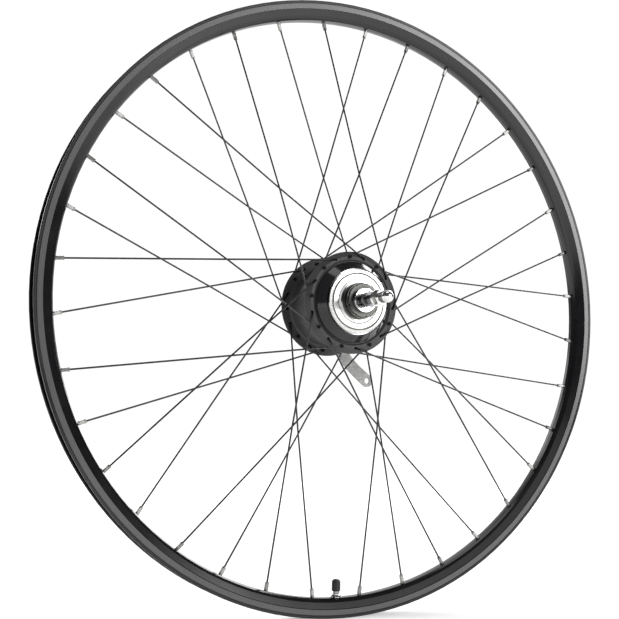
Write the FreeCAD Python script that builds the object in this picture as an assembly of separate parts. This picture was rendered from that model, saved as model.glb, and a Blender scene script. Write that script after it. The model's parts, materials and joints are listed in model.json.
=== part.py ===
"""Rear bicycle wheel built on an eight-speed planetary hub gear with a coaster brake.

Frame: origin at the wheel's centre in the plane of the rim, +Y along the axle towards the brake side,
-Y towards the drive side, +X forward, +Z up. All sizes are millimetres. Angles in the wheel's plane are
degrees from +X towards +Z. The hub is drawn in third gear: the middle sun gear is locked to the axle.
"""
import FreeCAD
import Part
import math
import os

V = FreeCAD.Vector
CENTRE = V(0, 0, 0)
AXIS = V(0, 1, 0)

# ---- driving dimensions -------------------------------------------------------------------------
OLD = 132.0                     # over-locknut distance, between the two frame dropouts
AXLE_LENGTH = 186.0
AXLE_THREAD_R = 4.76            # 3/8 inch axle thread
AXLE_FLATS = 8.0
NUT_FACE_Y = 80.4               # the closed nuts are run on to the axle's ends, clear of the dropouts
NUT_END_Y = 105.2
DOME_R = 6.0
THREAD_PITCH = 1.0
THREAD_DEPTH = 0.42

RIM_R = 316.7                   # outside of the rim
BEAD_SEAT_R = 311.0             # 622 mm bead seat
VALVE_R = 3.8
VALVE_CAP_END = 279.4           # how near the axle the valve's cap reaches
RIM_HALF_WIDTH = 10.9
RIM_WALL = 1.5
SPOKE_BED_R = 297.3             # the rim's inner face, where the nipples come out

SPOKES = 36
SPOKES_PER_GROUP = 9
SPOKE_R = 0.9
CROSS_ANGLE = 60.0              # three crosses: three times twenty degrees
FIRST_NIPPLE = 275.0            # the valve stands at 270 degrees, midway between two nipples
NIPPLE_R = 1.95
NIPPLE_VISIBLE = 8.4
HOLE_CIRCLE_R = 46.5            # spoke holes in the hub flanges
HOLE_CLEARANCE = 0.55           # on a spoke hole's radius, for the bend of the spoke's elbow
FLANGE_R = 52.2
FLANGE_HALF = 2.0
DRIVE_FLANGE_Y = -25.2
BRAKE_FLANGE_Y = 35.0
BARREL_R = 40.5
BORE_R = 37.2                   # inside of the hub shell

MODULE = 1.0
PRESSURE_ANGLE = math.radians(20)
ADDENDUM = 0.8
DEDENDUM = 1.05
BACKLASH = 0.16                 # taken off each tooth, along the pitch circle
PLANET_CENTRE_R = 22.5
PLANETS = 3
SUN_A, PLANET_A_SUN, PLANET_A_RING, RING_A = 33, 12, 21, 66
SUN_HIGH, SUN_MIDDLE, SUN_LOW = 30, 27, 21
PLANET_B_HIGH, PLANET_B_MIDDLE, PLANET_B_LOW, RING_B = 15, 18, 24, 63
STAGE_B_TURN = 60.0             # the second stage's planets stand between the first stage's

AXLE_CORE_R = 7.0
PIN_R = 2.5
FIT = 0.05                      # running clearance on a radius

DRIVER_BEARING = dict(y=-46.0, circle=10.8, ball=2.38, count=13)
SHELL_BEARING = dict(y=-33.4, circle=25.0, ball=2.0, count=26)
BRAKE_BEARING = dict(y=48.6, circle=17.5, ball=3.0, count=13)

CAP_SEAT_R = 18.0               # the neck of the driver that the dust cap is pressed on to

DRUM_R = 35.0
SHOES = 3
SHOE_TRAVEL = 0.6
CAM_TURN = 20.0
NOSE_R = 3.0                    # the round nose on each shoe that the cam pushes
NOSE_CIRCLE_R = 22.2

ARM_TIP = (63.0, -76.5)         # centre of the hole at the end of the brake arm, in X and Z
ARM_Y = (57.0, 60.0)
ARM_HOLE_R = 3.25


# ---- helpers ------------------------------------------------------------------------------------
def at(radius, angle, y=0.0):
    """The point at a radius and an angle in the wheel's plane."""
    a = math.radians(angle)
    return V(radius * math.cos(a), y, radius * math.sin(a))


def turned(shape, angle, centre=CENTRE):
    """A copy turned by an angle in the wheel's plane."""
    copy = shape.copy()
    copy.rotate(centre, AXIS, -angle)
    return copy


def cylinder(radius, y0, y1, centre=CENTRE):
    return Part.makeCylinder(radius, y1 - y0, V(centre.x, y0, centre.z), AXIS)


def ring(inner, outer, y0, y1):
    return cylinder(outer, y0, y1).cut(cylinder(inner, y0 - 1, y1 + 1))


def lathe(points):
    """A solid of revolution about the axle from (radius, y) points."""
    wire = Part.makePolygon([V(r, y, 0) for r, y in points] + [V(points[0][0], points[0][1], 0)])
    return Part.Face(wire).revolve(CENTRE, AXIS, 360)


def prism(points, y0, y1):
    """A flat outline of (x, z) points, as thick as y0 to y1."""
    corners = [V(x, y0, z) for x, z in points]
    face = Part.Face(Part.makePolygon(corners + corners[:1]))
    return face.extrude(V(0, y1 - y0, 0))


def polar_prism(points, y0, y1):
    """The same from (radius, angle) points."""
    flat = [(r * math.cos(math.radians(a)), r * math.sin(math.radians(a))) for r, a in points]
    return prism(flat, y0, y1)


def sector(inner, outer, start, end, y0, y1):
    """A block of a ring between two angles, with round inner and outer walls."""
    reach = 2.5 * outer
    middle = (start + end) / 2
    wedge = polar_prism([(0, 0), (reach, start), (reach, middle), (reach, end)], y0, y1)
    return ring(inner, outer, y0, y1).common(wedge)


def hexagon(across_flats, y0, y1):
    corner = across_flats / math.sqrt(3)
    return polar_prism([(corner, 60 * i) for i in range(6)], y0, y1)


def joined(first, *others):
    return first.fuse(list(others)).removeSplitter()


def group(solids):
    return Part.makeCompound(solids)


def race(bearing):
    """The round groove that a bearing's balls run in."""
    return Part.makeTorus(bearing["circle"], bearing["ball"] + FIT, V(0, bearing["y"], 0), AXIS)


# ---- gear teeth ---------------------------------------------------------------------------------
def involute(angle):
    return math.tan(angle) - angle


def flank(teeth, radius, thinner):
    """Half the angle, in degrees, that a tooth fills at a radius."""
    pitch = MODULE * teeth / 2
    base = pitch * math.cos(PRESSURE_ANGLE)
    half = math.pi / (2 * teeth) - thinner / (2 * pitch) + involute(PRESSURE_ANGLE)
    roll = math.acos(base / radius) if radius > base else 0.0
    return math.degrees(half - involute(roll))


def tooth_outline(teeth, low, high, thinner, phase, steps=4):
    """The whole toothed outline: a tooth stands at the phase angle."""
    base = MODULE * teeth / 2 * math.cos(PRESSURE_ANGLE)
    start = max(low, base)
    radii = [start + (high - start) * i / steps for i in range(steps + 1)]
    if low < start:
        radii = [low] + radii
    points = []
    for i in range(teeth):
        middle = phase + 360.0 * i / teeth
        points += [(r, middle - flank(teeth, r, thinner)) for r in radii]
        points += [(r, middle + flank(teeth, r, thinner)) for r in reversed(radii)]
    return points


def gear(teeth, y0, y1, phase=0.0):
    """A toothed disc on the axle's line, with a tooth at the phase angle."""
    pitch = MODULE * teeth / 2
    outline = tooth_outline(teeth, pitch - DEDENDUM, pitch + ADDENDUM, BACKLASH, phase)
    return polar_prism(outline, y0, y1)


def gear_spaces(teeth, y0, y1, phase=0.0):
    """What an internal gear leaves open, with a space at the phase angle."""
    pitch = MODULE * teeth / 2
    outline = tooth_outline(teeth, pitch - ADDENDUM, pitch + DEDENDUM, -BACKLASH, phase)
    return polar_prism(outline, y0, y1)


def half_pitch(teeth):
    return 180.0 / teeth


def facing_phase(teeth):
    """The phase that puts a space of a planet opposite its own +X side, where the sun's tooth stands."""
    return half_pitch(teeth) if teeth % 2 == 0 else 0.0


# ---- axle and the parts fixed to it --------------------------------------------------------------
def thread_profile(start, end):
    """(radius, y) points of a row of thread grooves between two places on the axle."""
    count = int(abs(end - start) / THREAD_PITCH)
    step = (end - start) / count
    points = []
    for i in range(count):
        points.append((AXLE_THREAD_R, start + step * i))
        points.append((AXLE_THREAD_R, start + step * (i + 0.3)))
        points.append((AXLE_THREAD_R - THREAD_DEPTH, start + step * (i + 0.65)))
    return points


def axle():
    end = AXLE_LENGTH / 2
    chamfer = 0.8
    dropout = OLD / 2
    left = [(AXLE_THREAD_R - chamfer, -end), (AXLE_THREAD_R, -end + chamfer)]
    right = [(AXLE_THREAD_R, end - chamfer), (AXLE_THREAD_R - chamfer, end)]
    body = lathe(
        [(0, -end)] + left
        + thread_profile(-end + chamfer + 0.2, -dropout)
        + [(AXLE_THREAD_R, -dropout), (AXLE_THREAD_R, -50.6), (5.9, -50.2), (5.9, -38.4)]
        + [(AXLE_CORE_R, -38.0), (AXLE_CORE_R, 16.0), (6.0, 16.4), (6.0, 42.6), (AXLE_THREAD_R, 43.0)]
        + [(AXLE_THREAD_R, dropout)]
        + thread_profile(dropout, end - chamfer - 0.2) + right + [(0, end)]
    )
    for side in (-1, 1):
        low = dropout if side > 0 else -end - 1
        for z in (AXLE_FLATS / 2, -AXLE_FLATS / 2 - 4):
            body = body.cut(Part.makeBox(20, end - dropout + 1, 4, V(-10, low, z)))
    return body


def fixed_sun(teeth, y0, y1, turn=0.0):
    """A sun gear locked to the axle, with a round bore that fits it face to face."""
    return turned(gear(teeth, y0, y1).cut(cylinder(AXLE_CORE_R + 0.03, y0 - 1, y1 + 1)), turn)


def free_sun(teeth, y0, y1, turn=0.0):
    """A sun gear that turns on the axle until its pawl locks it."""
    return turned(gear(teeth, y0, y1).cut(cylinder(AXLE_CORE_R + FIT, y0 - 1, y1 + 1)), turn)


def cone_window(side):
    return sector(5.85, 7.35, side - 78, side + 78, -54.0, -51.0)


def right_cone():
    body = lathe([
        (AXLE_THREAD_R + 0.04, -53.6), (10.1, -53.6), (10.4, -55.5), (11.7, -55.5), (12.0, -55.2),
        (12.0, -51.6), (10.6, -51.4), (10.6, -43.4), (8.6, -40.4), (7.35, -40.4), (7.35, -51.6),
        (AXLE_THREAD_R + 0.04, -51.6),
    ])
    return body.cut([race(DRIVER_BEARING), cone_window(0), cone_window(180)])


def shift_sleeve():
    """Turned by the shifter through the windows of the right cone, it works the sun gears' pawls."""
    tube = ring(6.0, 7.2, -51.3, -39.0)
    lugs = [sector(6.0, 7.2, a - 12, a + 12, -57.6, -51.3) for a in (64, 244)]
    return joined(tube, *lugs)


def cone_spacer():
    return ring(AXLE_THREAD_R + 0.03, 5.75, -60.6, -53.65)


def lock_nut(across_flats, inner_y, outer_y):
    """A thin hexagonal nut with a round serrated face against the dropout."""
    low, high = min(inner_y, outer_y), max(inner_y, outer_y)
    side = 1 if outer_y > inner_y else -1
    rim_r = across_flats / 2 + 0.5
    corner = across_flats / math.sqrt(3)
    collar = cylinder(rim_r, *sorted((outer_y - 1.4 * side, outer_y)))
    teeth = [turned(Part.makeBox(1.6, 0.3, 0.5, V(rim_r - 1.4, outer_y - 0.15, -0.25)), 15 * i)
             for i in range(24)]
    body = hexagon(across_flats, *sorted((inner_y, outer_y - 1.4 * side))).common(lathe([
        (0, low), (rim_r, low), (corner, low + 0.5), (corner, high), (0, high)]))
    nut = joined(body, collar).cut(cylinder(AXLE_THREAD_R + 0.03, low - 1, high + 1))
    return nut.cut(teeth)


def keyed_washer(y0, y1, tab_angle):
    """A washer that the axle's flats stop from turning, with a tab that enters the dropout slot."""
    disc = cylinder(8.6, y0, y1)
    tab = prism([(-3.9, 0), (3.9, 0), (3.9, 12.4), (3.2, 13.1), (-3.2, 13.1), (-3.9, 12.4)], y0, y1)
    bent = turned(tab, tab_angle - 90)
    bore = cylinder(AXLE_THREAD_R + 0.08, y0 - 1, y1 + 1)
    flats = Part.makeBox(20, y1 - y0 + 2, AXLE_FLATS + 0.16, V(-10, y0 - 1, -AXLE_FLATS / 2 - 0.08))
    return joined(disc, bent).cut(bore.common(flats))


def plain_washer(y0, y1):
    outside, edge = 8.0, 0.35
    bore = AXLE_THREAD_R + 0.1
    return lathe([(bore, y0), (outside - edge, y0), (outside, y0 + edge), (outside, y1 - edge),
                  (outside - edge, y1), (bore, y1)])


def dome_nut(side):
    """A closed nut on one end of the axle (side is -1 or +1): a hexagon, a neck and a domed end."""
    face_y = NUT_FACE_Y * side
    hex_end = face_y + 8.6 * side
    dome_y = NUT_END_Y * side - DOME_R * side
    chamfer = lathe([(0, face_y), (7.2, face_y), (8.2, face_y + 0.7 * side), (8.2, hex_end - 0.9 * side),
                     (6.9, hex_end), (0, hex_end)])
    hex_body = hexagon(14.0, *sorted((face_y, hex_end))).common(chamfer)
    neck = cylinder(DOME_R, *sorted((hex_end - side, dome_y)))
    nut = joined(hex_body, neck, Part.makeSphere(DOME_R, V(0, dome_y, 0)))
    return nut.cut(cylinder(AXLE_THREAD_R + 0.03, *sorted((face_y - side, AXLE_LENGTH / 2 * side + side))))


# ---- coaster brake ------------------------------------------------------------------------------
def brake_cone():
    """The fixed left cone: bearing race, anchor plate and the lugs that stop the shoes from turning."""
    body = lathe([
        (AXLE_THREAD_R + 0.03, 43.2), (32.6, 43.2), (32.6, 44.8), (16.6, 45.0), (16.6, 52.6), (13.0, 53.4),
        (13.0, 59.6), (AXLE_THREAD_R + 0.03, 59.6),
    ])
    flats = [Part.makeBox(40, 8, 6, V(-20, 55.8, z)) for z in (10.5, -16.5)]
    lugs = [sector(27.2, 32.6, a - 4.5, a + 4.5, 19.6, 43.4) for a in (60, 180, 300)]
    return joined(body.cut([race(BRAKE_BEARING)] + flats), *lugs)


def brake_cam():
    """Turned by pedalling backwards, its three ramps push the shoes outwards against the drum."""
    rise = SHOE_TRAVEL / CAM_TURN
    start, end, step = -42, 42, 4
    low_r = NOSE_CIRCLE_R - NOSE_R - 0.09
    points = []
    for lobe in range(SHOES):
        for offset in range(start, end + 1, step):
            points.append((low_r - rise * offset, 120 * lobe + offset))
        points.append((15.6, 120 * lobe + end))
        points.append((15.6, 120 * lobe + 120 + start))
    collar = ring(6.0 + FIT, 12.0, 16.9, 23.0)
    return joined(polar_prism(points, 23.0, 39.0).cut(cylinder(6.0 + FIT, 22, 40)), collar)


def brake_shoe(middle):
    """One third of the brake's friction ring, with the round nose that follows the cam."""
    body = sector(22.6, DRUM_R - SHOE_TRAVEL - 0.12, middle - 51, middle + 51, 19.6, 41.8)
    nose = cylinder(NOSE_R, 23.2, 38.8, at(NOSE_CIRCLE_R, middle))
    grooves = [ring(DRUM_R - 1.6, DRUM_R + 1, y, y + 1.2) for y in (25.0, 30.1, 35.2)]
    return joined(body, nose).cut(grooves)


def brake_drum():
    return ring(DRUM_R, BORE_R - 0.02, 17.6, 42.8)


def curve_through(points):
    curve = Part.BSplineCurve()
    curve.interpolate(points)
    return curve.toShape()


def brake_arm():
    """The lever that the frame holds: a flat steel arm, widest at the hub, curving to its eye."""
    y0, y1 = ARM_Y
    tip = V(ARM_TIP[0], y0, ARM_TIP[1])
    hub_r, eye_r = 23.0, 6.6
    low_edge = [(0.5, -22.0), (21.5, -41.5), (33.5, -59.0), (44.5, -69.8), (58.6, -81.4)]
    high_edge = [(67.4, -71.6), (55.6, -62.4), (45.0, -52.8), (36.0, -40.5), (22.0, -5.0)]
    lower = [V(x, y0, z) for x, z in low_edge]
    upper = [V(x, y0, z) for x, z in high_edge]
    edges = [curve_through(lower), Part.LineSegment(lower[-1], upper[0]).toShape(),
             curve_through(upper), Part.LineSegment(upper[-1], lower[0]).toShape()]
    blade = Part.Face(Part.Wire(edges)).extrude(V(0, y1 - y0, 0))
    eye = Part.makeCylinder(eye_r, y1 - y0, tip, AXIS)
    plate = joined(cylinder(hub_r, y0, y1), blade, eye)
    keyed = cylinder(13.05, y0 - 1, y1 + 1).common(Part.makeBox(40, 8, 21.1, V(-20, y0 - 2, -10.55)))
    hole = Part.makeCylinder(ARM_HOLE_R, 8, V(tip.x, y0 - 2, tip.z), AXIS)
    return plate.cut([keyed, hole])


def left_dust_cap():
    """The pressed cap between the brake arm and the shell that keeps dirt out of the left bearing."""
    return lathe([(13.2, 56.9), (13.2, 55.9), (25.2, 54.6), (27.6, 53.0), (28.4, 53.0), (28.4, 54.2),
                  (26.4, 56.0), (22.0, 56.9)])


# ---- driver ---------------------------------------------------------------------------------------
def driver():
    """The sprocket's black seat: nine notches take its lugs, and three pockets hold the pawls."""
    body = lathe([
        (10.95, -50.7), (13.4, -50.7), (13.7, -51.0), (16.4, -51.0), (16.9, -50.5), (16.9, -49.4),
        (15.7, -49.4), (15.7, -48.1), (17.1, -48.1), (17.1, -43.9), (18.7, -43.6), (18.7, -42.0),
        (CAP_SEAT_R, -42.0), (CAP_SEAT_R, -37.4), (19.6, -36.2), (23.6, -35.8), (23.6, -31.0),
        (30.4, -31.0), (30.4, -29.0), (12.0, -29.0), (12.0, -42.8), (12.6, -43.4), (12.6, -48.8),
        (11.6, -49.9), (10.95, -49.9),
    ])
    body = body.cut([race(DRIVER_BEARING), race(SHELL_BEARING)])
    notch = sector(16.0, 18.6, -4.5, 4.5, -52.0, -43.9)
    notches = [turned(notch, 40 * i) for i in range(9)]
    pockets = [turned(pawl_pocket(), 120 * i) for i in range(3)]
    return body.cut(notches + pockets)


def snap_ring():
    """The spring ring that holds a sprocket on the driver, open at the top."""
    hoop = ring(15.75, 17.9, -49.3, -48.2)
    return hoop.cut(sector(14.0, 20.0, 78, 102, -50, -47))


PAWL_PIVOT = (26.2, 0.0)
PAWL_R = 1.7


def pawl_pocket():
    pivot = at(*PAWL_PIVOT)
    seat = cylinder(PAWL_R + FIT, -31.5, -28.5, pivot)
    room = polar_prism([(26.2, 0), (26.4, -22), (31.5, -22), (31.5, -2.6), (27.9, 0)], -31.5, -28.5)
    return seat.fuse(room)


def drive_pawl(turn):
    """A pawl in its pocket, with its nose in the input ring gear's ratchet."""
    pivot = at(*PAWL_PIVOT)
    root = cylinder(PAWL_R, -30.9, -29.1, pivot)
    outline = [(27.0, -0.6), (27.2, -15.6), (31.6, -16.4), (31.35, -12.0), (27.6, -2.2)]
    nose = polar_prism(outline, -30.9, -29.1)
    return turned(joined(root, nose), turn)


def input_ring_gear():
    """The first stage's internal gear, in one drum with the ratchet that the driver's pawls turn."""
    drum = cylinder(36.0, -31.0, -13.4)
    teeth = gear_spaces(RING_A, -19.8, -13.0)
    middle = cylinder(34.2, -29.0, -19.8)
    count = 24
    pitch = 360.0 / count
    saw = []
    for i in range(count):
        wall = -16.7 + pitch * i
        saw += [(31.1, wall - 0.2), (32.9, wall), (31.1, wall + pitch - 1.7)]
    ratchet = polar_prism(saw, -32.0, -29.0)
    return drum.cut([teeth, middle, ratchet])


def dust_cap():
    """The bright pressed disc over the shell's drive side: a collar, two grooves and a turned-in rim."""
    bore = CAP_SEAT_R + 0.04
    collar = [(bore, -41.9), (19.6, -41.9), (20.0, -41.5), (20.0, -40.6)]
    thin_groove = [(21.9, -40.3), (22.3, -39.9), (22.7, -40.3)]
    wide_groove = [(27.4, -40.1), (28.0, -39.4), (28.8, -39.4), (29.3, -39.8)]
    rim_lip = [(31.9, -39.6), (32.6, -38.9), (32.6, -35.8), (31.8, -35.8), (31.6, -38.4)]
    back = [(27.6, -38.5), (20.4, -39.2), (bore, -39.4)]
    return lathe(collar + thin_groove + wide_groove + rim_lip + back)


# ---- planet carrier and planets -------------------------------------------------------------------
STAGE_A_TURNS = [120.0 * i for i in range(PLANETS)]
STAGE_B_TURNS = [STAGE_B_TURN + 120.0 * i for i in range(PLANETS)]
PLATES = ((-28.6, -26.2, 30.5), (-12.8, -10.0, 30.4), (11.0, 14.0, 30.4))


def planet_carrier():
    plates = [ring(AXLE_CORE_R + FIT, r, y0, y1) for y0, y1, r in PLATES]
    bars = [sector(20.5, 29.6, a + 60 - 11, a + 60 + 11, -26.3, -12.7) for a in STAGE_A_TURNS]
    bars += [sector(20.5, 29.6, a + 60 - 9, a + 60 + 9, -10.1, 11.1) for a in STAGE_B_TURNS]
    body = joined(plates[0], *(plates[1:] + bars))
    pins = [cylinder(PIN_R + 0.01, -29, -9, at(PLANET_CENTRE_R, a)) for a in STAGE_A_TURNS]
    pins += [cylinder(PIN_R + 0.01, -13, 15, at(PLANET_CENTRE_R, a)) for a in STAGE_B_TURNS]
    return body.cut(pins)


def pins(turns, y0, y1):
    return [cylinder(PIN_R, y0, y1, at(PLANET_CENTRE_R, a)) for a in turns]


def stepped_planet(steps, turn):
    """One planet of several steps: (teeth, y0, y1, phase). It is built at 0 degrees, then carried round."""
    solids = [gear(teeth, y0, y1, phase) for teeth, y0, y1, phase in steps]
    body = joined(solids[0], *solids[1:])
    body = body.cut(cylinder(PIN_R + FIT, steps[0][1] - 1, steps[-1][2] + 1))
    body.translate(V(PLANET_CENTRE_R, 0, 0))
    return turned(body, turn)


def planet_a(turn):
    return stepped_planet([
        (PLANET_A_SUN, -25.8, -19.6, facing_phase(PLANET_A_SUN)),
        (PLANET_A_RING, -19.6, -13.2, 0.0),
    ], turn)


def planet_b(turn):
    return stepped_planet([
        (PLANET_B_HIGH, -9.6, -3.8, facing_phase(PLANET_B_HIGH)),
        (PLANET_B_MIDDLE, -3.8, 4.2, facing_phase(PLANET_B_MIDDLE)),
        (PLANET_B_LOW, 4.2, 10.6, facing_phase(PLANET_B_LOW)),
    ], turn)


def output_ring_gear():
    """The second stage's internal gear, with the inner race of the roller clutch on its drive side."""
    drum = lathe([(0, -12.4), (33.6, -12.4), (33.6, -4.2), (36.6, -4.2), (36.6, 3.8), (0, 3.8)])
    spaces = turned(gear_spaces(RING_B, -3.5, 4.0, half_pitch(RING_B)), STAGE_B_TURN)
    return drum.cut([spaces, cylinder(32.7, -4.3, -3.5), cylinder(31.3, -13.0, -4.3)])


CLUTCH_ROLLERS = 12
CLUTCH_ROLLER_R = 1.72
CLUTCH_CIRCLE_R = 35.4


def clutch_rollers():
    step = 360.0 / CLUTCH_ROLLERS
    return group([cylinder(CLUTCH_ROLLER_R, -11.6, -5.2, at(CLUTCH_CIRCLE_R, step * i))
                  for i in range(CLUTCH_ROLLERS)])


def clutch_cage():
    step = 360.0 / CLUTCH_ROLLERS
    body = ring(34.1, 36.7, -12.2, -4.5)
    windows = [cylinder(CLUTCH_ROLLER_R + 0.12, -11.8, -5.0, at(CLUTCH_CIRCLE_R, step * i))
               for i in range(CLUTCH_ROLLERS)]
    return body.cut(windows)


# ---- bearings -------------------------------------------------------------------------------------
def bearing_balls(bearing):
    step = 360.0 / bearing["count"]
    return group([Part.makeSphere(bearing["ball"], at(bearing["circle"], step * i, bearing["y"]))
                  for i in range(bearing["count"])])


def ball_retainer(bearing, side):
    """A thin cage that keeps the balls apart, closed by a hoop on one side (-1 or +1 along Y)."""
    step = 360.0 / bearing["count"]
    c, b, y = bearing["circle"], bearing["ball"], bearing["y"]
    ends = sorted((y - 0.5 * b * side, y + (b + 0.7) * side))
    hoop = ring(c - 0.2 * b, c + 0.2 * b, *ends)
    pockets = [Part.makeCylinder(b + 0.1, b, at(c - b / 2, step * i, y), at(1, step * i))
               for i in range(bearing["count"])]
    return hoop.cut(pockets)


def right_ball_cup():
    return ring(26.3, 33.38, -35.0, -31.6).cut(race(SHELL_BEARING))


def left_ball_cup():
    body = lathe([(18.6, 46.0), (23.48, 46.0), (23.48, 52.6), (19.4, 52.6), (18.6, 51.8)])
    return body.cut(race(BRAKE_BEARING))


# ---- hub shell --------------------------------------------------------------------------------------
def shell_cap():
    """The conical ring screwed into the shell's drive side, which holds the right ball cup."""
    return lathe([
        (33.4, -36.9), (34.2, -37.1), (40.9, -29.4), (41.2, -28.6), (41.2, -27.6), (39.5, -27.4),
        (39.5, -20.0), (38.2, -20.0), (38.2, -29.6), (36.6, -31.5), (33.4, -31.5),
    ])


def flange_profile(middle):
    """(radius, y) points over a flange from -Y to +Y. It thins and leans inwards, as its spokes do."""
    half = FLANGE_HALF
    lean = -0.045 * middle / half
    edge = [(43.8, 1.0, 0.0), (46.8, 1.0, 0.0), (51.0, 0.45, 0.85), (FLANGE_R, 0.15, 1.0)]
    near = [(r, middle + half * (lean * share - thick)) for r, thick, share in edge]
    far = [(r, middle + half * (lean * share + thick)) for r, thick, share in reversed(edge)]
    return near + far


def hub_shell():
    """The casing: two flanges with spoke holes, a barrel with a wide band, and the brake-side dome."""
    recess_y = DRIVE_FLANGE_Y - FLANGE_HALF + 1.2
    band_r = BARREL_R + 0.5
    outer = [(39.55, recess_y), (42.4, recess_y)]
    outer += flange_profile(DRIVE_FLANGE_Y)
    outer += [(41.6, -21.6), (BARREL_R, -18.0), (BARREL_R, -6.0), (band_r, -5.0), (band_r, 14.0),
              (BARREL_R, 15.0), (BARREL_R, 27.5), (41.6, 31.2)]
    outer += flange_profile(BRAKE_FLANGE_Y)
    outer += [(42.8, 38.4), (42.0, 44.6), (40.6, 47.6), (37.4, 50.4), (33.0, 52.0), (28.0, 52.4),
              (23.5, 52.4)]
    inner = [(23.5, 47.8), (31.0, 47.4), (35.0, 46.0), (BORE_R, 43.4), (BORE_R, -19.2), (39.55, -19.2)]
    body = lathe(outer + inner)
    holes = []
    for middle, first in ((DRIVE_FLANGE_Y, 15.0), (BRAKE_FLANGE_Y, 5.0)):
        for i in range(SPOKES // 2):
            centre = at(HOLE_CIRCLE_R, first + 20 * i)
            holes.append(cylinder(SPOKE_R + HOLE_CLEARANCE, middle - 4, middle + 4, centre))
    return body.cut(holes)


# ---- spokes and nipples -------------------------------------------------------------------------------
class SpokeGroup:
    """One of the four sets of nine spokes. trail is +1 or -1: which way round the hub end lies."""

    def __init__(self, name, flange_y, first_index, trail, face):
        self.name = name
        self.flange_y = flange_y
        self.nipple_angle = FIRST_NIPPLE + 10.0 * first_index
        self.trail = trail
        self.face = face                      # side of the flange that the spoke lies on, -1 or +1 along Y
        self.hole_angle = self.nipple_angle + trail * CROSS_ANGLE


GROUPS = (
    SpokeGroup("spokes_drive_outer", DRIVE_FLANGE_Y, 2, -1, -1),
    SpokeGroup("spokes_drive_inner", DRIVE_FLANGE_Y, 0, 1, 1),
    SpokeGroup("spokes_brake_inner", BRAKE_FLANGE_Y, 3, -1, -1),
    SpokeGroup("spokes_brake_outer", BRAKE_FLANGE_Y, 1, 1, 1),
)
NIPPLE_SEAT_R = SPOKE_BED_R + 2.2       # the inside of the spoke bed, where the nipple's head rests
LAST_CROSS = 0.408                      # share of a spoke's length at which it meets its last crossing
ELBOW_R = 1.6


def spoke_points(g):
    """Head, elbow, last crossing and rim end of one spoke."""
    lie = g.flange_y + g.face * (FLANGE_HALF + SPOKE_R + 0.2)
    hole = at(HOLE_CIRCLE_R, g.hole_angle, lie)
    seat = at(NIPPLE_SEAT_R, g.nipple_angle, 0)
    head = V(hole.x, g.flange_y - g.face * (FLANGE_HALF + 0.1), hole.z)
    crossing = hole + (seat - hole) * LAST_CROSS
    crossing.y = g.flange_y * (1 - LAST_CROSS) - g.face * (SPOKE_R + 0.12)
    return head, hole, crossing, seat


def tangent_path(points, radii):
    """Straight runs joined by arcs that touch them: one radius for each inner point."""
    edges = []
    last = points[0]
    for before, corner, after, radius in zip(points, points[1:], points[2:], radii):
        into = (corner - before).normalize()
        out = (after - corner).normalize()
        turn = math.acos(max(-1.0, min(1.0, into.dot(out))))
        reach = radius * math.tan(turn / 2)
        start, end = corner - into * reach, corner + out * reach
        bisector = (out - into).normalize()
        middle = corner + bisector * (radius / math.cos(turn / 2) - radius)
        edges.append(Part.LineSegment(last, start).toShape())
        edges.append(Part.Arc(start, middle, end).toShape())
        last = end
    edges.append(Part.LineSegment(last, points[-1]).toShape())
    return Part.Wire(edges)


def spoke(g):
    head, hole, crossing, seat = spoke_points(g)
    end = seat + (crossing - seat).normalize() * 2.0
    wire = tangent_path([head, hole, crossing, end], [ELBOW_R, 300.0])
    start = Part.Wire(Part.makeCircle(SPOKE_R, head, AXIS))
    rod = wire.makePipeShell([start], True, False)
    button = Part.makeCone(1.3, 1.95, 1.5, head, V(0, -g.face, 0))
    button.translate(V(0, 0.12 * g.face, 0))
    return rod.fuse(button).removeSplitter()


def copies(shape):
    return [turned(shape, 40 * i) for i in range(SPOKES_PER_GROUP)]


def nipple_frame(g):
    """Where a nipple's head rests, and the way that its spoke leaves it."""
    head, hole, crossing, seat = spoke_points(g)
    return seat, (crossing - seat).normalize()


def nipple(g):
    seat, way = nipple_frame(g)
    low = NIPPLE_VISIBLE + 2.2
    head = Part.makeCone(2.0, 3.0, 0.9, seat - way * 0.5, way * -1)
    top = Part.makeCylinder(3.0, 1.4, seat - way * 1.4, way * -1)
    shank = Part.makeCylinder(NIPPLE_R, low + 0.8, seat - way * 0.8, way)
    square = Part.makeBox(3.35, 3.35, 5.2, V(-1.675, -1.675, 0))
    square = square.common(Part.makeCylinder(2.1, 5.2))
    turn = FreeCAD.Rotation(V(0, 0, 1), way)
    square.Placement = FreeCAD.Placement(seat + way * (low - 6.6), turn)
    neck = Part.makeCylinder(2.5, 5.2, seat + way * (low - 6.6), way)
    shank = shank.cut(neck)
    body = joined(head, top, shank, square)
    return body.cut(Part.makeCylinder(SPOKE_R + 0.03, 30, seat - way * 10, way))


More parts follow.
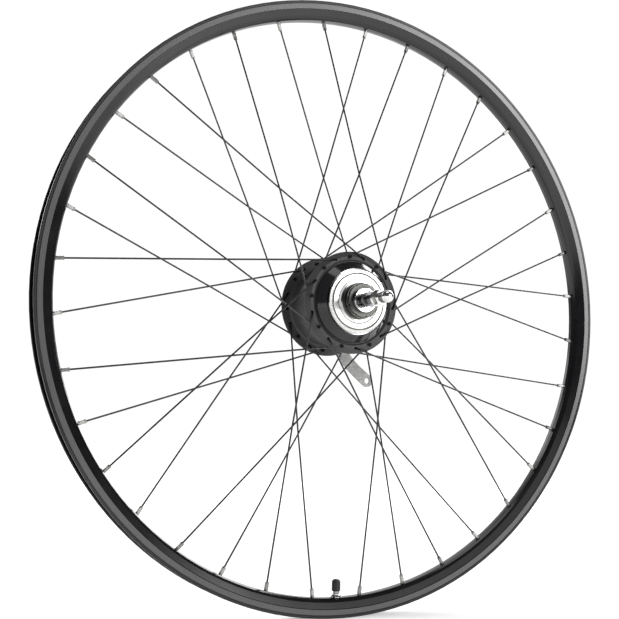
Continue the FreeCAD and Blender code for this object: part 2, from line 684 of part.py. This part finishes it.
# ---- rim and valve -------------------------------------------------------------------------------------
def rim_profile():
    """(radius, y) points of the rim's outline: brake tracks with a wear groove, and the tyre's channel."""
    w, t = RIM_HALF_WIDTH, RIM_WALL
    lip = [(w - 0.3, RIM_R), (w, RIM_R - 0.5), (w, RIM_R - 2.2)]
    wear_groove = [(w - 0.35, RIM_R - 2.6), (w - 0.35, RIM_R - 3.0), (w, RIM_R - 3.4)]
    brake_track_end = [(w, RIM_R - 8.7), (w - 0.45, RIM_R - 9.3)]
    taper = [(7.6, 301.4), (6.2, 299.0), (4.4, SPOKE_BED_R + 0.35), (0.0, SPOKE_BED_R)]
    half = lip + wear_groove + brake_track_end + taper
    channel = [
        (w - 1.3, RIM_R), (w - 1.9, RIM_R - 0.5), (w - 2.0, RIM_R - 1.4), (w - t, RIM_R - 2.6),
        (w - t, BEAD_SEAT_R), (w - 4.4, BEAD_SEAT_R - 0.3), (w - 5.4, BEAD_SEAT_R - 2.4),
        (0.0, BEAD_SEAT_R - 3.0),
    ]
    outer = half + [(-y, r) for y, r in reversed(half[:-1])]
    inner = [(-y, r) for y, r in channel] + [(y, r) for y, r in reversed(channel[:-1])]
    return [(r, y) for y, r in outer + inner]


def rim_cavity():
    """(radius, y) points of the hollow between the spoke bed and the tyre's channel."""
    half = [(0.0, SPOKE_BED_R + 2.2), (3.9, SPOKE_BED_R + 2.5), (5.0, 300.4), (7.4, 307.4),
            (4.2, BEAD_SEAT_R - 4.2), (0.0, BEAD_SEAT_R - 4.8)]
    return [(r, y) for y, r in half] + [(r, -y) for y, r in reversed(half[1:-1])]


def rim():
    body = lathe(rim_profile()).cut(lathe(rim_cavity()))
    drills = []
    for g in GROUPS:
        seat, way = nipple_frame(g)
        bore = Part.makeCylinder(NIPPLE_R + 0.3, 8, seat - way * 1, way)
        access = Part.makeCylinder(4.2, 8, at(NIPPLE_SEAT_R + 3.4, g.nipple_angle), at(1, g.nipple_angle))
        drills += copies(bore) + copies(access)
    drills.append(Part.makeCylinder(4.2, 20, at(BEAD_SEAT_R, 270), at(-1, 270)))
    return body.cut(drills)


def rim_tape():
    """The band in the well of the rim that covers the nipples' access holes."""
    floor = BEAD_SEAT_R - 3.0
    band = lathe([(floor + 0.06, 0.0), (floor + 0.59, 5.0), (floor + 1.35, 5.0), (floor + 0.8, 0.0),
                  (floor + 1.35, -5.0), (floor + 0.59, -5.0)])
    return band.cut(Part.makeCylinder(4.3, 10, at(BEAD_SEAT_R + 2, 270), at(-1, 270)))


def on_valve_line(points):
    """A solid of revolution about the valve's line, from (radius, distance from the axle) points."""
    corners = [V(r, 0, -d) for r, d in points]
    face = Part.Face(Part.makePolygon(corners + corners[:1]))
    return face.revolve(CENTRE, V(0, 0, 1), 360)


def valve_thread(start, end, radius):
    points = []
    count = int((start - end) / 0.9)
    step = (start - end) / count
    for i in range(count):
        points.append((radius, start - step * i))
        points.append((radius - 0.35, start - step * (i + 0.6)))
    return points


def valve_stem():
    foot = [(1.6, 311.6), (5.4, 311.6), (5.9, 310.6), (5.2, 309.6), (4.0, 309.2)]
    return on_valve_line(foot + valve_thread(309.0, 284.2, VALVE_R) + [(3.0, 283.0), (1.6, 283.0)])


def valve_rim_nut():
    bore = VALVE_R + 0.07
    disc = on_valve_line([(bore, SPOKE_BED_R - 0.15), (5.9, SPOKE_BED_R - 0.15), (6.1, SPOKE_BED_R - 0.6),
                          (5.6, SPOKE_BED_R - 1.4), (4.9, SPOKE_BED_R - 2.6), (bore, SPOKE_BED_R - 3.2)])
    cuts = []
    for i in range(12):
        cut = Part.makeCylinder(0.5, 4, V(6.3, 0, -SPOKE_BED_R), V(0, 0, 1))
        cut.rotate(CENTRE, V(0, 0, 1), 30 * i)
        cuts.append(cut)
    return disc.cut(cuts)


def valve_core():
    return on_valve_line([(0, 300.0), (1.5, 300.0), (1.5, 282.0), (0.9, 281.4), (0, 281.4)])


def valve_cap():
    bore = VALVE_R + 0.07
    outside = 4.35
    cap = on_valve_line([(bore, 291.0), (outside, 291.0), (outside, 282.4), (4.1, 281.2), (3.2, 280.1),
                         (1.7, 279.5), (0, VALVE_CAP_END), (0, 280.7), (1.9, 280.9), (3.3, 281.7),
                         (bore, 283.2)])
    ribs = []
    for i in range(16):
        rib = Part.makeCylinder(0.3, 7.0, V(outside + 0.12, 0, -290.2), V(0, 0, 1))
        rib.rotate(CENTRE, V(0, 0, 1), 22.5 * i)
        ribs.append(rib)
    return cap.cut(ribs)


# ---- every node ---------------------------------------------------------------------------------------
def nodes():
    """Yields (name, shape) for each separate piece."""
    dropout = OLD / 2
    yield "axle", axle()
    yield "sun_gear_input", fixed_sun(SUN_A, -25.6, -20.2)
    yield "sun_gear_middle", fixed_sun(SUN_MIDDLE, -2.8, 3.8, STAGE_B_TURN)
    yield "sun_gear_high", free_sun(SUN_HIGH, -9.4, -4.1, STAGE_B_TURN)
    yield "sun_gear_low", free_sun(SUN_LOW, 4.8, 10.4, STAGE_B_TURN)
    yield "right_cone", right_cone()
    yield "shift_sleeve", shift_sleeve()
    yield "cone_spacer", cone_spacer()
    yield "right_lock_nut", lock_nut(14.0, -60.6, -dropout)
    yield "right_washer", plain_washer(-NUT_FACE_Y, -NUT_FACE_Y + 1.8)
    yield "right_axle_nut", dome_nut(-1)
    yield "brake_cone", brake_cone()
    yield "brake_arm", brake_arm()
    yield "left_dust_cap", left_dust_cap()
    yield "left_lock_nut", lock_nut(17.0, 60.2, dropout)
    yield "left_keyed_washer", keyed_washer(NUT_FACE_Y - 2.0, NUT_FACE_Y, 90)
    yield "left_axle_nut", dome_nut(1)
    yield "brake_cam", brake_cam()
    for i in range(SHOES):
        yield f"brake_shoe_{i + 1}", brake_shoe(120 * i)
    yield "driver", driver()
    yield "snap_ring", snap_ring()
    yield "dust_cap", dust_cap()
    yield "input_ring_gear", input_ring_gear()
    for i, turn in enumerate(STAGE_A_TURNS):
        yield f"drive_pawl_{i + 1}", drive_pawl(turn)
    yield "planet_carrier", planet_carrier()
    yield "planet_pins", group(pins(STAGE_A_TURNS, -28.6, -10.0) + pins(STAGE_B_TURNS, -12.8, 14.0))
    for i, turn in enumerate(STAGE_A_TURNS):
        yield f"planet_input_{i + 1}", planet_a(turn)
    for i, turn in enumerate(STAGE_B_TURNS):
        yield f"planet_output_{i + 1}", planet_b(turn)
    yield "driver_bearing_balls", bearing_balls(DRIVER_BEARING)
    yield "shell_bearing_balls", bearing_balls(SHELL_BEARING)
    yield "shell_bearing_retainer", ball_retainer(SHELL_BEARING, -1)
    yield "brake_bearing_balls", bearing_balls(BRAKE_BEARING)
    yield "brake_bearing_retainer", ball_retainer(BRAKE_BEARING, 1)
    yield "hub_shell", hub_shell()
    yield "shell_cap", shell_cap()
    yield "right_ball_cup", right_ball_cup()
    yield "left_ball_cup", left_ball_cup()
    yield "brake_drum", brake_drum()
    yield "output_ring_gear", output_ring_gear()
    yield "clutch_rollers", clutch_rollers()
    yield "clutch_cage", clutch_cage()
    for g in GROUPS:
        yield g.name, group(copies(spoke(g)))
    yield "nipples", group([n for g in GROUPS for n in copies(nipple(g))])
    yield "rim", rim()
    yield "rim_tape", rim_tape()
    yield "valve_stem", valve_stem()
    yield "valve_rim_nut", valve_rim_nut()
    yield "valve_core", valve_core()
    yield "valve_cap", valve_cap()


os.makedirs("parts", exist_ok=True)
for name, shape in nodes():
    if not shape.isValid() or not shape.Solids:
        print("problem with", name, shape.isValid(), len(shape.Solids))
    shape.exportStep(f"parts/{name}.step")
    print(f"{name}: {len(shape.Solids)} solids, {shape.Volume:.0f} mm3")
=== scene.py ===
"""Looks for the rear wheel on its hub gear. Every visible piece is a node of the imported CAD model
with a finish, on a pale floor. Metres, in the CAD's frame: +Y is the brake side, +X forward, +Z up."""
import json
import math

import bpy
from mathutils import Matrix, Vector


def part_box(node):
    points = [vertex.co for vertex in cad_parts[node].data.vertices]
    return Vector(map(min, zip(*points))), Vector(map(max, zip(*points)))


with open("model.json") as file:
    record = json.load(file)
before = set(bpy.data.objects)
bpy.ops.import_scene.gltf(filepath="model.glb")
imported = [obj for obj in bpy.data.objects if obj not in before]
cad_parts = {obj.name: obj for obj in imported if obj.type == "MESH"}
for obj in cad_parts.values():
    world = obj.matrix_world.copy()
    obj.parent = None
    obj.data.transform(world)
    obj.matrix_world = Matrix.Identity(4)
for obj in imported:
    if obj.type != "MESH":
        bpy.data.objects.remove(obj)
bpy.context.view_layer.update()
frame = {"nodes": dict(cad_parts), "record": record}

MM = 0.001
NODES = frame["nodes"]
RIM_LOW, RIM_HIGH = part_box("rim")
WHEEL_BOTTOM = RIM_LOW.z

# ---- places of the finishes ----------------------------------------------------------------------
TRACK_HALF_WIDTH = RIM_HIGH.y
TRACK_INNER_R = RIM_HIGH.x - 8.8 * MM
TRACK_OUTER_R = RIM_HIGH.x - 2.8 * MM
TRACK_INNER_FADE = 0.2 * MM
TRACK_OUTER_FADE = 1.2 * MM
TRACK_FACE_DEPTHS = (0.12 * MM, 0.06 * MM)      # how far below the rim's flank its bare face fades out
CAP_GROOVES = ((22.3 * MM, 0.35 * MM), (28.4 * MM, 0.7 * MM))      # middle radius and half width
SPOKE_HEADS_R, SPOKE_WIRE_R = 48.0 * MM, 50.0 * MM      # the heads lie inside the first radius
LATHE_PITCH = 0.35 * MM
SMOOTH_ANGLE = math.radians(32)

# ---- the main view -------------------------------------------------------------------------------
VIEW_AZIMUTH = math.radians(-25.05)
VIEW_ELEVATION = math.radians(-5.22)
VIEW_ROLL = math.radians(1.07)
VIEW_DISTANCE = 1.1143
VIEW_TARGET = Vector((-0.0354, 0.0, -0.0072))
SENSOR = 36.0
LENS = 63.39
CLIP_START, CLIP_END = 0.02, 50.0

# ---- stage and lights ----------------------------------------------------------------------------
FLOOR_REACH = 9.0
NEAR_FLOOR_R, FAR_FLOOR_R = 0.6, 2.0            # between these the floor's glow rises
NEAR_FLOOR_GLOW, FAR_FLOOR_GLOW = 0.45, 1.0
PAPER_STARTS, PAPER_FULL = 0.35, 0.85           # cosine of the angle from straight ahead
BACKDROP_GLOW = 1.05            # the white paper behind the wheel
ROOM_GLOW = 0.07                # the dark room around it


# ---- node helpers --------------------------------------------------------------------------------
def put(tree, socket, value):
    """Link a socket to another, or set its plain value."""
    if isinstance(value, bpy.types.NodeSocket):
        tree.links.new(value, socket)
    else:
        socket.default_value = value


def add_node(tree, kind, inputs=None, **settings):
    made = tree.nodes.new(kind)
    for key, value in settings.items():
        setattr(made, key, value)
    for key, value in (inputs or {}).items():
        put(tree, made.inputs[key], value)
    return made


class Graph:
    """Short names for building a material's nodes."""

    def __init__(self, name):
        self.material = bpy.data.materials.new(name)
        self.material.use_nodes = True
        self.tree = self.material.node_tree
        self.shader = next(n for n in self.tree.nodes if n.type == "BSDF_PRINCIPLED")

    def node(self, kind, inputs=None, **settings):
        return add_node(self.tree, kind, inputs, **settings)

    def put(self, socket, value):
        put(self.tree, socket, value)

    def math(self, operation, a, b=0.0):
        return self.node("ShaderNodeMath", {0: a, 1: b}, operation=operation).outputs[0]

    def place(self):
        return self.node("ShaderNodeTexCoord").outputs["Object"]

    def separate(self, vector):
        made = self.node("ShaderNodeSeparateXYZ", {0: vector})
        return made.outputs[0], made.outputs[1], made.outputs[2]

    def combine(self, x, y, z):
        return self.node("ShaderNodeCombineXYZ", {0: x, 1: y, 2: z}).outputs[0]

    def noise(self, scale, detail=3.0, vector=None, roughness=0.55):
        made = self.node("ShaderNodeTexNoise", {"Vector": vector or self.place(), "Scale": scale,
                                                "Detail": detail, "Roughness": roughness})
        return made.outputs["Fac"]

    def between(self, value, low, high, from_low=0.3, from_high=0.7):
        """low to high, as value goes from from_low to from_high."""
        made = self.node("ShaderNodeMapRange", {"Value": value, "To Min": low, "To Max": high,
                                                "From Min": from_low, "From Max": from_high})
        return made.outputs["Result"]

    def blend(self, fac, a, b):
        made = self.node("ShaderNodeMix", data_type="RGBA")
        self.put(made.inputs["Factor"], fac)
        self.put(made.inputs[6], (*a, 1.0) if isinstance(a, tuple) else a)
        self.put(made.inputs[7], (*b, 1.0) if isinstance(b, tuple) else b)
        return made.outputs[2]

    def bump(self, height, strength, distance):
        made = self.node("ShaderNodeBump", {"Height": height, "Strength": strength,
                                            "Distance": distance})
        return made.outputs["Normal"]

    def finish(self, **inputs):
        for key, value in inputs.items():
            self.put(self.shader.inputs[key.replace("_", " ")], value)
        return self.material


def radius(g, first, second):
    """Distance from the origin in the plane of two axes."""
    parts = g.node("ShaderNodeSeparateXYZ", {0: g.place()}).outputs
    squares = [g.math("MULTIPLY", parts[axis], parts[axis]) for axis in (first, second)]
    return g.math("SQRT", g.math("ADD", *squares))


def radius_from_axle(g):
    return radius(g, "X", "Z")


def turning_marks(g, spacing):
    """Fine rings left by a lathe: they vary with the distance from the axle and along it."""
    _, y, _ = g.separate(g.place())
    line = g.combine(g.math("DIVIDE", radius_from_axle(g), spacing), g.math("DIVIDE", y, spacing), 0.0)
    return g.noise(1.0, 2.0, line)


# ---- materials -----------------------------------------------------------------------------------
def turned_metal(name, colour, rough):
    """Machined metal with lathe rings and a little smudging."""
    g = Graph(name)
    rings = turning_marks(g, LATHE_PITCH)
    smudge = g.noise(60.0, 4.0)
    tint = g.blend(g.between(smudge, 0.0, 1.0), tuple(c * 0.9 for c in colour), colour)
    blur = g.math("ADD", g.between(rings, rough * 0.8, rough * 1.2), g.between(smudge, -0.02, 0.03))
    return g.finish(Base_Color=tint, Metallic=1.0, Roughness=blur, Normal=g.bump(rings, 0.1, 0.02 * MM))


def pressed_plate():
    """The polished dust cap, with painted shade darkening its two grooves."""
    g = Graph("pressed_plate")
    r = radius_from_axle(g)
    # painted shade: this mask is 0 in the two grooves, where the steel turns dark grey and rough in
    # place of the groove walls' shade
    outside_groove_shade = 1.0
    for middle, half_width in CAP_GROOVES:
        off = g.math("ABSOLUTE", g.math("SUBTRACT", r, middle))
        outside_groove_shade = g.math("MULTIPLY", outside_groove_shade, g.between(off, 0.0, 1.0, half_width * 0.6, half_width))
    rings = turning_marks(g, 0.5 * MM)
    steel = g.blend(g.between(rings, 0.0, 1.0), (0.55, 0.55, 0.54), (0.64, 0.64, 0.63))
    return g.finish(Base_Color=g.blend(outside_groove_shade, (0.10, 0.10, 0.09), steel), Metallic=1.0,
                    Roughness=g.between(outside_groove_shade, 0.45, 0.16, 0.0, 1.0),
                    Normal=g.bump(rings, 0.08, 0.02 * MM))


def cast_metal(name, colour, rough):
    """Cast or forged metal: a fine grain in soft patches of lighter and darker tone."""
    g = Graph(name)
    grain = g.noise(900.0, 4.0)
    patches = g.noise(45.0, 3.0)
    tint = g.blend(g.between(patches, 0.0, 1.0), tuple(c * 0.85 for c in colour), colour)
    return g.finish(Base_Color=tint, Metallic=1.0,
                    Roughness=g.between(grain, rough - 0.06, rough + 0.06),
                    Normal=g.bump(grain, 0.25, 0.05 * MM))


def black_paint(name, colour, rough, grain_depth):
    """Stove enamel: a very fine orange peel, a little hazy."""
    g = Graph(name)
    peel = g.noise(700.0, 2.0)
    haze = g.noise(25.0, 3.0)
    tint = g.blend(g.between(haze, 0.0, 1.0), tuple(c * 0.8 for c in colour), colour)
    return g.finish(Base_Color=tint, Roughness=g.between(haze, rough * 0.9, rough * 1.12),
                    Normal=g.bump(peel, grain_depth, 0.03 * MM))


def spoke_steel():
    """Drawn wire, duller on the heads and darker there: painted shade where the heads and elbows sit in
    the flange holes.
    """
    g = Graph("spoke_steel")
    streaks = g.noise(350.0, 3.0)
    wire = g.blend(g.between(streaks, 0.0, 1.0), (0.045, 0.045, 0.048), (0.075, 0.075, 0.08))
    # painted shade: inside SPOKE_HEADS_R the wire fades to near black, at the heads and elbows by the
    # flange
    out_of_head_shade = g.between(radius_from_axle(g), 0.0, 1.0, SPOKE_HEADS_R, SPOKE_WIRE_R)
    return g.finish(Base_Color=g.blend(out_of_head_shade, (0.012, 0.012, 0.012), wire), Metallic=1.0,
                    Roughness=g.between(out_of_head_shade, 0.6, 0.32, 0.0, 1.0))


def rim_enamel():
    """Black enamel, with both brake tracks turned and anodised dark grey."""
    g = Graph("rim_black")
    r = radius_from_axle(g)
    _, y, _ = g.separate(g.place())
    bottom, top = (TRACK_HALF_WIDTH - depth for depth in TRACK_FACE_DEPTHS)
    flat = g.between(g.math("ABSOLUTE", y), 0.0, 1.0, bottom, top)
    inner_edge = g.between(r, 0.0, 1.0, TRACK_INNER_R, TRACK_INNER_R + TRACK_INNER_FADE)
    outer_edge = g.between(r, 1.0, 0.0, TRACK_OUTER_R, TRACK_OUTER_R + TRACK_OUTER_FADE)
    track = g.math("MULTIPLY", g.math("MULTIPLY", flat, inner_edge), outer_edge)
    marks = turning_marks(g, 0.3 * MM)
    haze = g.noise(25.0, 3.0)
    peel = g.noise(700.0, 2.0)
    bare = g.blend(g.between(marks, 0.0, 1.0), (0.09, 0.09, 0.09), (0.15, 0.15, 0.15))
    enamel = g.blend(g.between(haze, 0.0, 1.0), (0.005, 0.005, 0.006), (0.008, 0.008, 0.009))
    rough = g.math("ADD", g.between(haze, 0.12, 0.17), g.between(track, 0.0, 0.12, 0.0, 1.0))
    relief = g.math("ADD", g.math("MULTIPLY", marks, track), g.math("MULTIPLY", peel, 0.3))
    return g.finish(Base_Color=g.blend(track, enamel, bare), Metallic=track, Roughness=rough,
                    Normal=g.bump(relief, 0.1, 0.03 * MM))


def stamped_plate():
    """Zinc-plated sheet steel: pale, a little cloudy, with rolling streaks."""
    g = Graph("arm_plate")
    x, y, z = g.separate(g.place())
    along = g.combine(g.math("MULTIPLY", x, 120.0), g.math("MULTIPLY", y, 400.0),
                      g.math("MULTIPLY", z, 900.0))
    streaks = g.noise(1.0, 3.0, along)
    cloud = g.noise(70.0, 4.0)
    tint = g.blend(g.between(cloud, 0.0, 1.0), (0.20, 0.20, 0.195), (0.30, 0.30, 0.295))
    return g.finish(Base_Color=tint, Metallic=1.0, Roughness=g.between(streaks, 0.40, 0.56),
                    Normal=g.bump(streaks, 0.2, 0.03 * MM))


def rubber(name, colour, rough):
    """Dull rubber or plastic with a fine grain and some dust."""
    g = Graph(name)
    grain = g.noise(1200.0, 3.0)
    dust = g.noise(35.0, 4.0)
    tint = g.blend(g.between(dust, 0.0, 1.0), colour, tuple(c * 1.7 + 0.004 for c in colour))
    return g.finish(Base_Color=tint, Roughness=g.between(grain, rough - 0.08, rough + 0.06),
                    Normal=g.bump(grain, 0.35, 0.06 * MM))


def materials():
    """One finish for each material slot of the record, and one for the dust cap."""
    return {
        "axle_steel": turned_metal("axle_steel", (0.20, 0.20, 0.21), 0.30),
        "pressed_plate": pressed_plate(),
        "gear_steel": cast_metal("gear_steel", (0.44, 0.44, 0.46), 0.34),
        "bearing_steel": turned_metal("bearing_steel", (0.75, 0.75, 0.77), 0.10),
        "bright_steel": turned_metal("bright_steel", (0.90, 0.90, 0.89), 0.14),
        "brass_plain": turned_metal("brass_plain", (0.72, 0.52, 0.22), 0.30),
        "nipple_plating": turned_metal("nipple_plating", (0.30, 0.30, 0.29), 0.36),
        "spoke_steel": spoke_steel(),
        "hub_black": black_paint("hub_black", (0.050, 0.050, 0.052), 0.55, 0.25),
        "shell_cap_black": black_paint("shell_cap_black", (0.02, 0.02, 0.022), 0.10, 0.04),
        "driver_black": turned_metal("driver_black", (0.10, 0.10, 0.095), 0.34),
        "carrier_steel": cast_metal("carrier_steel", (0.38, 0.38, 0.40), 0.38),
        "brake_iron": cast_metal("brake_iron", (0.22, 0.21, 0.20), 0.5),
        "arm_plate": stamped_plate(),
        "rim_black": rim_enamel(),
        "tape_rubber": rubber("tape_rubber", (0.03, 0.03, 0.032), 0.75),
        "cap_plastic": rubber("cap_plastic", (0.015, 0.015, 0.015), 0.5),
    }


def finish_cad_nodes(made):
    """Every CAD node gets the finish of its slot and smooth curved faces. The dust cap has its own."""
    slots = {s["node"]: s["material_slot"] for s in frame["record"]["subparts"]}
    slots["dust_cap"] = "pressed_plate"
    for name, node in NODES.items():
        node.data.materials.clear()
        node.data.materials.append(made[slots[name]])
        node.data.shade_smooth()
        node.data.set_sharp_from_angle(angle=SMOOTH_ANGLE)


# ---- stage ---------------------------------------------------------------------------------------
def add_stage():
    """A pale floor under the wheel. It glows more with distance, to meet the white background."""
    reach = FLOOR_REACH
    corners = [(-reach, -reach, 0.0), (reach, -reach, 0.0), (reach, reach, 0.0), (-reach, reach, 0.0)]
    mesh = bpy.data.meshes.new("floor")
    mesh.from_pydata(corners, [], [(0, 1, 2, 3)])
    floor = bpy.data.objects.new("floor", mesh)
    bpy.context.scene.collection.objects.link(floor)
    floor.location = (0.0, 0.0, WHEEL_BOTTOM)
    g = Graph("floor_paper")
    grain = g.noise(40.0, 4.0)
    tint = g.blend(g.between(grain, 0.0, 1.0), (0.90, 0.90, 0.90), (0.93, 0.93, 0.93))
    glow = g.between(radius(g, "X", "Y"), NEAR_FLOOR_GLOW, FAR_FLOOR_GLOW, NEAR_FLOOR_R, FAR_FLOOR_R)
    mesh.materials.append(g.finish(Base_Color=tint, Roughness=0.9, Specular_IOR_Level=0.1,
                                   Emission_Color=(1.0, 1.0, 1.0, 1.0), Emission_Strength=glow))


def add_light(name, place, size, power, along=(0.0, 0.0, 1.0)):
    """A soft panel that faces the hub. Its second side lies as near to the direction along as it can."""
    data = bpy.data.lights.new(name, "AREA")
    data.shape = "RECTANGLE"
    data.size, data.size_y = size
    data.energy = power
    light = bpy.data.objects.new(name, data)
    bpy.context.scene.collection.objects.link(light)
    back = Vector(place).normalized()
    side = Vector(along).cross(back).normalized()
    turn = Matrix((side, back.cross(side), back)).transposed().to_4x4()
    light.matrix_world = Matrix.Translation(place) @ turn


def add_lights():
    """Two panels in front, which the disc mirrors, a strip behind for the rim's right side, and two
    weak fills: one from above and one on the brake side."""
    add_light("front_box", (1.32, -2.06, 0.56), (1.2, 1.2), 18.0)
    add_light("front_wide", (1.0, -2.2, 0.72), (2.4, 1.5), 10.0)
    add_light("back_strip", (1.41, 0.99, 1.02), (0.80, 1.30), 26.0, along=(-0.30, -0.44, 0.85))
    add_light("top_box", (-0.2, -0.5, 2.3), (1.6, 0.8), 8.0)
    add_light("brake_side_box", (-0.9, 2.4, 1.1), (1.2, 1.2), 9.0)


def add_world():
    """White paper behind the wheel in a dark room. Seen directly, the whole room is white."""
    world = bpy.data.worlds.new("studio")
    bpy.context.scene.world = world
    world.use_nodes = True
    tree = world.node_tree
    direction = add_node(tree, "ShaderNodeTexCoord").outputs["Generated"]
    turned = add_node(tree, "ShaderNodeVectorRotate", {"Vector": direction, "Angle": -VIEW_AZIMUTH},
                      rotation_type="Z_AXIS")
    ahead = add_node(tree, "ShaderNodeSeparateXYZ", {0: turned.outputs[0]}).outputs["Y"]
    paper = add_node(tree, "ShaderNodeMapRange",
                     {"Value": ahead, "From Min": PAPER_STARTS, "From Max": PAPER_FULL,
                      "To Min": ROOM_GLOW, "To Max": BACKDROP_GLOW}, interpolation_type="SMOOTHSTEP")
    seen = add_node(tree, "ShaderNodeLightPath").outputs["Is Camera Ray"]
    strength = add_node(tree, "ShaderNodeMix",
                        {"Factor": seen, "A": paper.outputs["Result"], "B": BACKDROP_GLOW})
    background = tree.nodes["Background"]
    background.inputs["Color"].default_value = (1.0, 1.0, 1.0, 1.0)
    tree.links.new(strength.outputs["Result"], background.inputs["Strength"])


def add_camera():
    """The camera looks at VIEW_TARGET from the drive side and a little below, slightly rolled."""
    back = Vector((math.sin(VIEW_AZIMUTH) * math.cos(VIEW_ELEVATION),
                   -math.cos(VIEW_AZIMUTH) * math.cos(VIEW_ELEVATION), math.sin(VIEW_ELEVATION)))
    right = (-back).cross(Vector((0, 0, 1))).normalized()
    up = back.cross(right)
    cos, sin = math.cos(VIEW_ROLL), math.sin(VIEW_ROLL)
    rolled_right = cos * right + sin * up
    rolled_up = -sin * right + cos * up
    data = bpy.data.cameras.new("camera")
    data.sensor_width = SENSOR
    data.lens = LENS
    data.clip_start, data.clip_end = CLIP_START, CLIP_END
    camera = bpy.data.objects.new("camera", data)
    bpy.context.scene.collection.objects.link(camera)
    turn = Matrix((rolled_right, rolled_up, back)).transposed().to_4x4()
    camera.matrix_world = Matrix.Translation(VIEW_TARGET + back * VIEW_DISTANCE) @ turn
    bpy.context.scene.camera = camera


finish_cad_nodes(materials())
add_stage()
add_lights()
add_world()
add_camera()
bpy.context.scene.view_settings.view_transform = "Standard"
